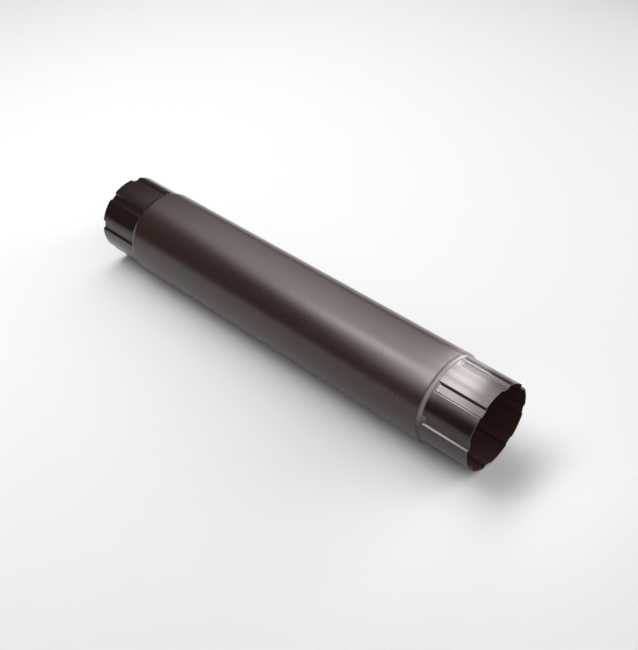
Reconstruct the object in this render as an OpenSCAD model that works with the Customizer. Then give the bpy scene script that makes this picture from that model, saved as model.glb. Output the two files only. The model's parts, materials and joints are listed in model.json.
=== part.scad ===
// Round downpipe of coated sheet steel, one formed tube.
// Both ends are crimped: the sheet is drawn in to a spigot that slips into the bore of the
// next fitting, and pressed grooves run along the spigot up to a rounded shoulder.
// The tube lies along X with its middle at the origin.

/* [Pipe] */
// Length from rim to rim
pipe_length = 500; // [250:10:3000]
// Bore of the plain body
bore_d = 90; // [75:1:150]
// Thickness of the coated sheet
sheet_t = 0.6; // [0.5:0.1:0.8]

/* [Crimped ends] */
// Length of a spigot, from its rim to the foot of the shoulder
spigot_length = 50; // [40:0.5:90]
// Gap all round between a spigot and the bore that it slips into
slip_gap = 1.25; // [0.5:0.05:2]
// Steepest slope of the shoulder
shoulder_slope = 30; // [15:1:40]
// Outer bend where the spigot turns up into the shoulder
shoulder_foot_r = 3; // [2:0.5:8]
// Outer bend where the shoulder turns into the body
shoulder_crown_r = 6; // [4:0.5:15]

/* [Grooves] */
// Number of grooves round a spigot
groove_count = 8; // [5:1:10]
// Place of the first groove, as an angle from straight up towards -Y
groove_start = -9; // [-45:1:45]
// Depth of a groove below the spigot's outside
groove_depth = 2.5; // [1.5:0.1:3.5]
// Width of a groove at half its depth
groove_w = 8.5; // [7:0.5:12]
// Slope of a groove's side walls
groove_wall_slope = 55; // [45:1:70]
// Outer bend along each side of a groove's floor
groove_floor_r = 1; // [0.4:0.1:1.5]
// Outer bend along each side of a groove's mouth
groove_mouth_r = 1.3; // [1:0.1:2]
// How far a groove's floor goes past the foot of the shoulder before it is level with the spigot
groove_reach = 0.5; // [0:0.5:5]
// Slope of a groove's floor where it runs out
runout_slope = 50; // [30:1:60]
// Outer bend where the floor starts to run out
runout_r = 2; // [1:0.5:8]

/* [Hidden] */

$fn = 96;
bend_steps = 6;      // straight steps in each bend
mouth_exit = 14;     // angle at which a mouth bend leaves the spigot's round outside
mouth_lip = 3;       // length of the straight cut that follows it, clear of the metal
past = 5;            // how far an inner or a cutting solid runs past a rim

half_length = pipe_length / 2;
body_r = bore_d / 2 + sheet_t;
spigot_r = bore_d / 2 - slip_gap;
floor_r = spigot_r - groove_depth;

// Points of a bend of radius r round c, from direction a to direction b
function bend(c, r, a, b) =
    [for (i = [0:bend_steps]) let (t = a + (b - a) * i / bend_steps) c + r * [cos(t), sin(t)]];

function mirrored(points) = [for (i = [len(points) - 1:-1:0]) [-points[i][0], points[i][1]]];

// ---- Tube without its grooves ----

// The shoulder has a foot bend, a straight flank and a crown bend. Where the step is too low
// for both bends at the full slope, they meet at a lower one.
step = body_r - spigot_r;
bends_r = shoulder_foot_r + shoulder_crown_r;
flank_slope = min(shoulder_slope, acos(max(0, 1 - step / bends_r)));
flank_run = (step - bends_r * (1 - cos(flank_slope))) / tan(flank_slope);
foot_x = half_length - spigot_length;
crown_x = foot_x - bends_r * sin(flank_slope) - flank_run;

// Half outline of the tube's solid, as [place along X, radius] from the middle to a rim.
// An inset of 0 is the outside of the sheet, and an inset of sheet_t its inside.
function half_outline(inset, overrun) = concat(
    bend([crown_x, body_r - shoulder_crown_r], shoulder_crown_r - inset, 90, 90 - flank_slope),
    bend([foot_x, spigot_r + shoulder_foot_r], shoulder_foot_r + inset, 270 - flank_slope, 270),
    [[half_length + overrun, spigot_r - inset], [half_length + overrun, 0]]);

module turned_solid(inset, overrun) {
    right = half_outline(inset, overrun);
    outline = concat(right, mirrored(right));
    rotate([0, 90, 0])
        rotate_extrude()
            polygon([for (p = outline) [p[1], p[0]]]);
}

// ---- Pressed grooves ----

// One side wall is the line through wall_p along wall_d, drawn as [across the groove, radius].
wall_p = [groove_w / 2, spigot_r - groove_depth / 2];
wall_d = [cos(groove_wall_slope), sin(groove_wall_slope)];
wall_n = [-sin(groove_wall_slope), cos(groove_wall_slope)];

// Centre of a bend that touches the wall at distance d off it, placed at radius level y
function on_level(d, y) =
    let (p = wall_p + d * wall_n) p + wall_d * (y - p[1]) / wall_d[1];
// Centre of a bend that touches the wall at distance d off it, at distance r from the tube's axis
function on_circle(d, r) =
    let (p = wall_p + d * wall_n, b = p * wall_d) p + wall_d * (sqrt(b * b - p * p + r * r) - b);

floor_c = on_level(groove_floor_r, floor_r + groove_floor_r);
mouth_c = on_circle(-groove_mouth_r, spigot_r - groove_mouth_r);
mouth_end = atan2(mouth_c[1], mouth_c[0]) + mouth_exit;

// Half section of a groove, from its floor out past the spigot's outside
function half_section(inset) =
    let (mouth = bend(mouth_c, groove_mouth_r - inset, 90 + groove_wall_slope, mouth_end),
         lip = mouth[bend_steps] + mouth_lip * [sin(mouth_end), -cos(mouth_end)])
    concat(bend(floor_c, groove_floor_r + inset, -90, groove_wall_slope - 90),
           mouth, [lip, [lip[0], body_r + past]]);

// Floor of a groove along the tube, level and then running out through the shoulder
runout_x = foot_x - groove_reach;
runout_c = [runout_x + groove_depth / tan(runout_slope) + runout_r * tan(runout_slope / 2),
            floor_r + runout_r];

module groove_cut(inset) {
    right = half_section(inset);
    floor_bend = bend(runout_c, runout_r + inset, -90, -90 - runout_slope);
    top = body_r + past;
    ramp_end = floor_bend[bend_steps]
        + (top - floor_bend[bend_steps][1]) / tan(runout_slope) * [-1, tan(runout_slope)];
    intersection() {
        rotate([90, 0, 90])
            linear_extrude(half_length + 2 * past)
                polygon(concat(mirrored(right), right));
        rotate([90, 0, 0])
            linear_extrude(4 * groove_w, center = true)
                polygon(concat([[half_length + 2 * past, top],
                                [half_length + 2 * past, floor_r - inset]],
                               floor_bend, [ramp_end]));
    }
}

module grooves(inset) {
    for (end = [0, 1], i = [0:groove_count - 1])
        mirror([end, 0, 0])
            rotate([groove_start + i * 360 / groove_count, 0, 0])
                groove_cut(inset);
}

// ---- The tube ----

module formed_solid(inset, overrun) {
    difference() {
        turned_solid(inset, overrun);
        grooves(inset);
    }
}

module downpipe() {
    color([0.25, 0.19, 0.18])
        difference() {
            formed_solid(0, 0);
            formed_solid(sheet_t, past);
        }
}

downpipe();
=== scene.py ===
"""Looks of the downpipe: its coated finish, a pale floor, soft studio lamps and the camera."""

import json
import math

import bpy
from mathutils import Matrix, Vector


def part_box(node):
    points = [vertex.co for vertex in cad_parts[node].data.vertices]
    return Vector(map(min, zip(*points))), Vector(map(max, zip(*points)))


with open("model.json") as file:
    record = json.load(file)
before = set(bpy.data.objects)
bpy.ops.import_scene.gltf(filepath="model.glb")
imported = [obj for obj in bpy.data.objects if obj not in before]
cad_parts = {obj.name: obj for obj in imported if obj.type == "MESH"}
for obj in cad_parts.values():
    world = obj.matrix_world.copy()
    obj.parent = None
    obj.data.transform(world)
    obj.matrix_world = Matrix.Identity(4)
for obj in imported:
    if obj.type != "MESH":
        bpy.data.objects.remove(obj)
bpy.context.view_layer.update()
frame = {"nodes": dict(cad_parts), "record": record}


def mount_dims(name):
    return next(m for m in frame["record"]["mounts"] if m["name"] == name)["dims"]


# ---- The pipe, which lies along X with its middle at the origin ----

NODE = "downpipe"
LOW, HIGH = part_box(NODE)
FLOOR_Z = LOW.z
BODY_R = HIGH.z                  # outside radius of the plain body
RIM_X = HIGH.x                   # the rims lie at -RIM_X and RIM_X
SPIGOT = mount_dims("spigot_front")
SPIGOT_R = SPIGOT["r_mm"] / 1000
FOOT_X = RIM_X - SPIGOT["length_mm"] / 1000              # where a spigot meets its shoulder
CROWN_X = mount_dims("body_outside")["length_mm"] / 2000     # where the body meets its shoulder
SHEET = 0.0006
GROOVE_DEPTH = 0.0025

# ---- Camera ----

EYE = Vector((0.5708, -0.5657, 0.6250))
YAW = math.radians(43.334)       # turned left from +Y
PITCH = math.radians(-38.911)
LENS_MM = 56.18
SENSOR_MM = 36.0


def add_camera():
    data = bpy.data.cameras.new("camera")
    data.lens = LENS_MM
    data.sensor_width = SENSOR_MM
    camera = bpy.data.objects.new("camera", data)
    bpy.context.scene.collection.objects.link(camera)
    camera.location = EYE
    camera.rotation_euler = (math.pi / 2 + PITCH, 0, YAW)
    bpy.context.scene.camera = camera


# ---- Node helpers ----

# Almost all of a noise's values lie between these two.
NOISE_LOW = 0.3
NOISE_HIGH = 0.7


class Nodes:
    """Short ways to add and join shader nodes in one tree."""

    def __init__(self, tree):
        self.tree = tree
        tree.nodes.clear()

    def add(self, kind, **settings):
        node = self.tree.nodes.new(kind)
        for name, value in settings.items():
            setattr(node, name, value)
        return node

    def put(self, socket, value):
        """Sets a socket to a number or colour, or joins it to another node's output."""
        if isinstance(value, bpy.types.NodeSocket):
            self.tree.links.new(value, socket)
        else:
            socket.default_value = value

    def math(self, operation, *values):
        node = self.add("ShaderNodeMath", operation=operation)
        for socket, value in zip(node.inputs, values):
            self.put(socket, value)
        return node.outputs[0]

    def product(self, *values):
        result = values[0]
        for value in values[1:]:
            result = self.math("MULTIPLY", result, value)
        return result

    def ramp(self, value, start, end, low=0.0, high=1.0):
        """Goes smoothly from low to high as value goes from start to end."""
        node = self.add("ShaderNodeMapRange", interpolation_type="SMOOTHSTEP")
        for socket, setting in zip(node.inputs, (value, start, end, low, high)):
            self.put(socket, setting)
        return node.outputs[0]

    def between(self, factor, low, high):
        """Goes in a straight line from low to high as factor goes from 0 to 1."""
        node = self.add("ShaderNodeMapRange")
        for socket, setting in zip(node.inputs, (factor, 0.0, 1.0, low, high)):
            self.put(socket, setting)
        return node.outputs[0]

    def scale_colour(self, colour, factor):
        node = self.add("ShaderNodeVectorMath", operation="SCALE")
        self.put(node.inputs[0], colour)
        self.put(node.inputs["Scale"], factor)
        return node.outputs[0]

    def blend(self, factor, colour_a, colour_b):
        node = self.add("ShaderNodeMix", data_type="RGBA")
        self.put(node.inputs["Factor"], factor)
        for name, colour in (("A", colour_a), ("B", colour_b)):
            socket = next(s for s in node.inputs if s.name == name and s.type == "RGBA")
            self.put(socket, (*colour, 1) if isinstance(colour, tuple) else colour)
        return next(s for s in node.outputs if s.type == "RGBA")

    def noise(self, place, scale, detail, stretch=(1, 1, 1)):
        """Noise from 0 to 1 at a place, with a scale in bumps a metre, drawn out by stretch."""
        mapping = self.add("ShaderNodeMapping")
        self.put(mapping.inputs["Vector"], place)
        self.put(mapping.inputs["Scale"], tuple(1 / s for s in stretch))
        node = self.add("ShaderNodeTexNoise")
        self.put(node.inputs["Vector"], mapping.outputs[0])
        self.put(node.inputs["Scale"], scale)
        self.put(node.inputs["Detail"], detail)
        return node.outputs["Fac"]

    def clouds(self, place, scale, detail, low, high, stretch=(1, 1, 1)):
        """Noise spread out to fill the range from low to high."""
        return self.ramp(self.noise(place, scale, detail, stretch), NOISE_LOW, NOISE_HIGH, low, high)


# ---- Floor and world ----

FLOOR_WIDTH = 12
FLOOR_COLOUR = (0.68, 0.68, 0.68)
WORLD_LEVEL = 0.05               # low, to leave a dark band in the gloss between lamps and floor


def add_floor():
    bpy.ops.mesh.primitive_plane_add(size=FLOOR_WIDTH, location=(0, 0, FLOOR_Z))
    floor = bpy.context.object
    floor.name = "floor"
    floor.data.materials.append(floor_paper())


def floor_paper():
    """Pale matt paper, which looks the same to the camera and in the pipe's gloss."""
    material = bpy.data.materials.new("floor_paper")
    material.use_nodes = True
    n = Nodes(material.node_tree)
    paper = n.add("ShaderNodeBsdfDiffuse")
    paper.inputs["Color"].default_value = (*FLOOR_COLOUR, 1)
    n.put(n.add("ShaderNodeOutputMaterial").inputs["Surface"], paper.outputs[0])
    return material


def add_world():
    world = bpy.data.worlds.new("studio")
    bpy.context.scene.world = world
    world.use_nodes = True
    back = world.node_tree.nodes["Background"]
    back.inputs["Color"].default_value = (1, 1, 1, 1)
    back.inputs["Strength"].default_value = WORLD_LEVEL


# ---- Lamps ----
# A lamp's direction is given as its part along X, and as an angle psi in degrees round the X axis,
# from straight up towards -Y. The near end of the pipe is the one at +X, the front is at -Y.

# The main softbox arches over the pipe, ARCH_R from its axis. It is put together from flat panels,
# whose corners lie at these places along X and at these angles psi.
ARCH_R = 1.2
ARCH_ALONG = (-1.35, -1.12, -0.95, -0.75, -0.58, -0.48, -0.42, -0.385, -0.35, -0.31, -0.22, -0.05)
ARCH_PSI = (-80, -60, -40, -22, -8, 6, 18, 28, 37, 47, 57, 67, 79)
ARCH_UNSEEN = 0.05               # a panel that is nowhere brighter than this is left out

# Its brightness: an even base, a wide soft field and a small bright core.
BASE_LEVEL = 0.4
FIELD_LEVEL = 4.0
FIELD_ALONG = -0.22              # where along X the field is brightest
FIELD_FAR_WIDTH = 1.2
FIELD_NEAR_WIDTH = 0.1
FIELD_PSI = 7                    # towards the back of this the field fades
FIELD_BACK_WIDTH = 56
CORE_LEVEL = 11.7
CORE_ALONG, CORE_ALONG_WIDTH = -0.48, 0.11
CORE_PSI, CORE_PSI_WIDTH = 18.6, 8.2
FRONT_FADE_PSI, FRONT_FADE_WIDTH = 45, 25        # all of it fades to the front of this

# Its front edge is a slanting line with a rounded tongue in it, its far edge a line across.
FRONT_EDGE_ALONG, FRONT_EDGE_PSI = -0.6, 35      # a point on the slanting line
FRONT_EDGE_SLOPE = 53                            # degrees of psi a metre along X
FRONT_EDGE_SOFTNESS = 3
TONGUE_ALONG, TONGUE_WIDTH = -0.385, 0.035
TONGUE_REACH = 28
FAR_EDGE_ALONG, FAR_EDGE_SOFTNESS = -1.23, 0.05

# Softboxes that light one place. Each row is the part along X, psi, the distance, the place aimed
# at, the size along X and across it, the brightness, and the angle to which a grid narrows the beam.
SPIGOT_AIM = Vector((0.214, 0, 0.044))
SHOULDER_AIM = Vector((0.2, 0, 0))
STRIP = (0.04, 0.115)
LOCAL_PANELS = {
    "spigot_rear": (-0.40, -97, 0.25, SPIGOT_AIM, STRIP, 0.05, 45),
    "spigot_behind": (-0.40, -71, 0.25, SPIGOT_AIM, STRIP, 0.35, 45),
    "spigot_back": (-0.40, -45, 0.25, SPIGOT_AIM, STRIP, 0.6, 45),
    "spigot_top": (-0.40, -19, 0.25, SPIGOT_AIM, STRIP, 0.7, 45),
    "spigot_front": (-0.40, 7, 0.25, SPIGOT_AIM, STRIP, 0.6, 45),
    "spigot_low": (-0.40, 33, 0.25, SPIGOT_AIM, STRIP, 0.45, 45),
    "arc_a": (0.14, -72, 1.4, SHOULDER_AIM, (0.25, 0.6), 6.9, 180),
    "arc_b": (0.36, -42, 1.4, SHOULDER_AIM, (0.25, 0.7), 4.8, 180),
    "arc_c": (0.51, -7, 1.4, SHOULDER_AIM, (0.25, 0.9), 3.3, 180),
    "arc_d": (0.57, 30, 1.4, SHOULDER_AIM, (0.25, 0.8), 3.5, 180),
    "arc_e": (0.57, 60, 1.4, SHOULDER_AIM, (0.25, 0.6), 1.8, 180),
    "arc_rear": (0.62, -74, 1.4, SHOULDER_AIM, (0.9, 1.0), 0.6, 60),
    "right": (0.90, 15, 1.4, SHOULDER_AIM, (0.4, 0.8), 3.0, 180),
}


def bell(distance, width):
    return math.exp(-(distance / width) ** 2)


def edge(distance, softness):
    """Goes from 0 outside an edge to 1 inside it."""
    return 1 / (1 + math.exp(-distance / softness))


def glow(along, psi):
    """Brightness of the main softbox at a place along X and an angle psi."""
    field_width = FIELD_FAR_WIDTH if along < FIELD_ALONG else FIELD_NEAR_WIDTH
    field = bell(along - FIELD_ALONG, field_width) * bell(min(psi - FIELD_PSI, 0), FIELD_BACK_WIDTH)
    core = bell(along - CORE_ALONG, CORE_ALONG_WIDTH) * bell(psi - CORE_PSI, CORE_PSI_WIDTH)
    level = BASE_LEVEL + FIELD_LEVEL * field + CORE_LEVEL * core
    level *= bell(max(psi - FRONT_FADE_PSI, 0), FRONT_FADE_WIDTH)
    front_psi = FRONT_EDGE_PSI + FRONT_EDGE_SLOPE * (along - FRONT_EDGE_ALONG)
    front_psi += TONGUE_REACH * bell(along - TONGUE_ALONG, TONGUE_WIDTH)
    level *= edge(front_psi - psi, FRONT_EDGE_SOFTNESS)
    return level * edge(along - FAR_EDGE_ALONG, FAR_EDGE_SOFTNESS)


def around(along, psi_deg):
    """Unit direction whose X part is along, turned psi from straight up towards -Y."""
    across = math.sqrt(1 - along * along)
    psi = math.radians(psi_deg)
    return Vector((along, -across * math.sin(psi), across * math.cos(psi)))


def add_softbox(name, place, aim, size, brightness, spread=180):
    """A soft rectangular lamp; size is along X and across it, brightness an even level or one level
    for each corner: front far, front near, back far and back near."""
    data = bpy.data.lights.new(name, "AREA")
    data.shape = "RECTANGLE"
    data.size, data.size_y = size
    data.spread = math.radians(spread)
    even = isinstance(brightness, float)
    data.energy = math.pi * size[0] * size[1] * (brightness if even else 1)
    if not even:
        grade_lamp(data, brightness)
    lamp = bpy.data.objects.new(name, data)
    bpy.context.scene.collection.objects.link(lamp)
    away = (place - aim).normalized()
    across = away.cross(Vector((1, 0, 0))).normalized()
    along = across.cross(away)
    rotation = lamp.rotation_euler.to_matrix()
    rotation.col[0], rotation.col[1], rotation.col[2] = along, across, away
    lamp.location = place
    lamp.rotation_euler = rotation.to_euler()
    lamp.visible_camera = False


def grade_lamp(data, corners):
    """Lets a lamp's brightness run evenly from corner to corner."""
    data.use_nodes = True
    n = Nodes(data.node_tree)
    split = n.add("ShaderNodeSeparateXYZ")
    n.put(split.inputs[0], n.add("ShaderNodeNewGeometry").outputs["Parametric"])
    front = n.between(split.outputs["X"], corners[0], corners[1])
    back = n.between(split.outputs["X"], corners[2], corners[3])
    emission = n.add("ShaderNodeEmission")
    n.put(emission.inputs["Strength"], n.between(split.outputs["Y"], front, back))
    n.put(n.add("ShaderNodeOutputLight").inputs["Surface"], emission.outputs[0])


def add_arch():
    """The main softbox, panel by panel; the brightness of neighbours agrees at their corners."""
    for i, (start, end) in enumerate(zip(ARCH_ALONG, ARCH_ALONG[1:])):
        for j, (psi_back, psi_front) in enumerate(zip(ARCH_PSI, ARCH_PSI[1:])):
            corners = [glow(along, psi) for psi in (psi_front, psi_back) for along in (start, end)]
            if max(corners) < ARCH_UNSEEN:
                continue
            middle = Vector(((start + end) / 2, 0, 0))
            place = middle + ARCH_R * around(0, (psi_back + psi_front) / 2)
            width = 2 * ARCH_R * math.tan(math.radians(psi_front - psi_back) / 2)
            add_softbox(f"arch_{i}_{j}", place, middle, (end - start, width), corners)


def add_lamps():
    add_arch()
    for name, (along, psi, distance, aim, size, brightness, spread) in LOCAL_PANELS.items():
        add_softbox(name, aim + distance * around(along, psi), aim, size, brightness, spread)


# ---- Coated steel ----

BROWN = (0.027, 0.0130, 0.0110)          # coating on the body
SPIGOT_PAINTED_SHADE_BROWN = (0.014, 0.0062, 0.0055)     # the same coating on the spigots, darker: painted shade
INSIDE_PAINTED_LIGHT_BROWN = (0.045, 0.02, 0.018)      # the same coating inside, lighter: painted light
RIDGE_PAINTED_HIGHLIGHT = (0.33, 0.30, 0.298)             # painted highlight on the ridge of each shoulder, a light metallic colour
CUT_STEEL = (0.12, 0.105, 0.095)         # edge of the sheet at a rim
CUT_METALLIC = 0.5                       # the coating is drawn over part of the cut edge
COAT_SPECULAR = 0.6
COAT_GLOSS_TINT = (1, 0.92, 0.92)

# The body with its clouds stays under a roughness of 0.274. Cycles denoises a rougher surface in
# another way, and where clouds cross that value it leaves marks.
BODY_ROUGHNESS = 0.26
SPIGOT_ROUGHNESS = 0.15
RIDGE_ROUGHNESS = 0.42
INSIDE_ROUGHNESS = 0.34
CUT_ROUGHNESS = 0.45
GROOVE_EXTRA_ROUGHNESS = 0.03

# Noises: scale in bumps a metre, detail, how far they are drawn out along X, Y and Z, and for
# clouds the range of what they give.
COLOUR_CLOUDS = {"scale": 14, "detail": 3, "stretch": (2, 1, 1), "low": 0.94, "high": 1.05}
SPECKS = {"scale": 900, "detail": 1, "low": 0.93, "high": 1.07}
ROUGHNESS_CLOUDS = {"scale": 22, "detail": 3, "stretch": (3, 1, 1), "low": -0.012, "high": 0.012}
HIGHLIGHT_PATCHES = {"scale": 160, "detail": 3, "stretch": (1, 3, 3)}
HIGHLIGHT_PATCHES_START, HIGHLIGHT_PATCHES_FULL = 0.35, 0.6        # values of the noise that breaks the ridge's painted highlight into patches
HIGHLIGHT_LEAST = 0.85                        # how strong the ridge's painted highlight is where it is weakest
PEEL = {"scale": 620, "detail": 2}
GRAIN = {"scale": 2600, "detail": 1}
PEEL_HEIGHT = 0.000002
GRAIN_HEIGHT = 0.0000006

# Where the zones of the pipe begin and end, in metres.
CUT_START, CUT_FULL = 0.00012, 0.00004           # before the rim
SPIGOT_START, SPIGOT_FULL = -0.002, 0.001        # past the foot of the shoulder
RIDGE_START, RIDGE_FULL = 0.0006, 0.0028         # past the crown of the shoulder
RIDGE_FADE = 0.001                               # before the foot of the shoulder
RIDGE_IN_GROOVE = 0.0035                         # how much further it goes in a groove

# The same as parts of the groove's depth, of the body's radius and of the spigot's radius.
GROOVE_START, GROOVE_FULL = 0.1, 0.6
UPPER_START, UPPER_FULL = -0.1, 0.55
FACING_IN = -0.1


class Zones:
    """Where a point of the pipe lies, each as a number from 0 to 1."""

    def __init__(self, n, place):
        split = n.add("ShaderNodeSeparateXYZ")
        n.put(split.inputs[0], place)
        end_distance = n.math("ABSOLUTE", split.outputs["X"])
        radial = n.add("ShaderNodeCombineXYZ")
        n.put(radial.inputs["Y"], split.outputs["Y"])
        n.put(radial.inputs["Z"], split.outputs["Z"])
        self.inside = self.find_inside(n, radial)
        self.cut = n.ramp(end_distance, RIM_X - CUT_START, RIM_X - CUT_FULL)
        self.spigot = n.ramp(end_distance, FOOT_X + SPIGOT_START, FOOT_X + SPIGOT_FULL)
        self.groove = self.find_groove(n, radial)
        self.ridge = self.find_ridge(n, split, end_distance)

    def find_inside(self, n, radial):
        """1 where the surface faces the pipe's axis."""
        outward = n.add("ShaderNodeVectorMath", operation="DOT_PRODUCT")
        n.put(outward.inputs[0], radial.outputs[0])
        n.put(outward.inputs[1], n.add("ShaderNodeNewGeometry").outputs["True Normal"])
        return n.math("LESS_THAN", outward.outputs["Value"], FACING_IN * SPIGOT_R)

    def find_groove(self, n, radial):
        """Goes to 1 down the wall of a groove, inside and out."""
        radius = n.add("ShaderNodeVectorMath", operation="LENGTH")
        n.put(radius.inputs[0], radial.outputs[0])
        outer_radius = n.math("MULTIPLY_ADD", self.inside, SHEET, radius.outputs["Value"])
        depth = n.math("SUBTRACT", SPIGOT_R, outer_radius)
        return n.ramp(depth, GROOVE_START * GROOVE_DEPTH, GROOVE_FULL * GROOVE_DEPTH)

    def find_ridge(self, n, split, end_distance):
        """1 on the slope of a shoulder, on its upper side, and less towards the far end: where the
        painted highlight goes.
        """
        foot_distance = n.math("MULTIPLY_ADD", self.groove, -RIDGE_IN_GROOVE, end_distance)
        before_foot = n.ramp(foot_distance, FOOT_X, FOOT_X - RIDGE_FADE)
        past_crown = n.ramp(end_distance, CROWN_X + RIDGE_START, CROWN_X + RIDGE_FULL)
        # Painted highlight: lit on the upper side only, and fading towards the far end.
        upper_side = n.ramp(split.outputs["Z"], UPPER_START * BODY_R, UPPER_FULL * BODY_R)
        near_end = n.ramp(split.outputs["X"], -CROWN_X, CROWN_X)
        outside = n.math("SUBTRACT", 1.0, self.inside)
        return n.product(past_crown, before_foot, upper_side, near_end, outside)


def coat_colour(n, place, zones):
    """The coating's brown with faint clouds and specks, painted shade on the spigots, painted light
    inside, a painted highlight on the shoulders' ridges, and the bare cut edges.
    """
    # Painted shade darkens the spigots, and painted light makes the inside lighter.
    colour = n.blend(zones.inside, n.blend(zones.spigot, BROWN, SPIGOT_PAINTED_SHADE_BROWN), INSIDE_PAINTED_LIGHT_BROWN)
    clouds = n.clouds(place, **COLOUR_CLOUDS)
    specks = n.clouds(place, **SPECKS)
    colour = n.scale_colour(colour, n.math("MULTIPLY", clouds, specks))
    # Painted highlight on each shoulder's ridge, broken into patches by noise.
    highlight_patches = n.ramp(n.noise(place, **HIGHLIGHT_PATCHES), HIGHLIGHT_PATCHES_START, HIGHLIGHT_PATCHES_FULL, HIGHLIGHT_LEAST)
    colour = n.blend(n.math("MULTIPLY", zones.ridge, highlight_patches), colour, RIDGE_PAINTED_HIGHLIGHT)
    return n.blend(zones.cut, colour, CUT_STEEL)


def coat_roughness(n, place, zones):
    """Satin on the body, smoother where the rollers pressed, with faint clouds along the pipe."""
    rough = n.between(zones.spigot, BODY_ROUGHNESS, SPIGOT_ROUGHNESS)
    rough = n.between(zones.ridge, rough, RIDGE_ROUGHNESS)
    rough = n.between(zones.inside, rough, INSIDE_ROUGHNESS)
    rough = n.between(zones.cut, rough, CUT_ROUGHNESS)
    clouds = n.clouds(place, **ROUGHNESS_CLOUDS)
    grooves = n.math("MULTIPLY", zones.groove, GROOVE_EXTRA_ROUGHNESS)
    return n.math("ADD", n.math("ADD", rough, grooves), clouds)


def coat_relief(n, place):
    """Orange peel and fine grain of the coating, as a height in metres."""
    peel = n.math("MULTIPLY", n.noise(place, **PEEL), PEEL_HEIGHT)
    grain = n.math("MULTIPLY", n.noise(place, **GRAIN), GRAIN_HEIGHT)
    bump = n.add("ShaderNodeBump")
    bump.inputs["Strength"].default_value = 1.0
    bump.inputs["Distance"].default_value = 1.0
    n.put(bump.inputs["Height"], n.math("ADD", peel, grain))
    return bump.outputs[0]


def coated_steel():
    """Brown coil coating: satin on the body, pressed smooth and darkened by painted shade on the
    spigots, with a painted highlight on the shoulders' ridges.
    """
    material = bpy.data.materials.new("coated_steel")
    material.use_nodes = True
    n = Nodes(material.node_tree)
    shader = n.add("ShaderNodeBsdfPrincipled")
    n.put(n.add("ShaderNodeOutputMaterial").inputs["Surface"], shader.outputs[0])
    place = n.add("ShaderNodeTexCoord").outputs["Object"]
    zones = Zones(n, place)
    bare_edge = n.math("MULTIPLY", zones.cut, CUT_METALLIC)
    n.put(shader.inputs["Base Color"], coat_colour(n, place, zones))
    # Metallic on the ridge's painted highlight and on part of the cut edge.
    n.put(shader.inputs["Metallic"], n.math("MAXIMUM", zones.ridge, bare_edge))
    n.put(shader.inputs["Roughness"], coat_roughness(n, place, zones))
    n.put(shader.inputs["Normal"], coat_relief(n, place))
    shader.inputs["Specular IOR Level"].default_value = COAT_SPECULAR
    shader.inputs["Specular Tint"].default_value = (*COAT_GLOSS_TINT, 1)
    return material


add_camera()
add_floor()
add_world()
add_lamps()

pipe = frame["nodes"][NODE]
pipe.data.materials.clear()
pipe.data.materials.append(coated_steel())
for polygon in pipe.data.polygons:
    polygon.use_smooth = True

bpy.context.scene.view_settings.view_transform = "Standard"
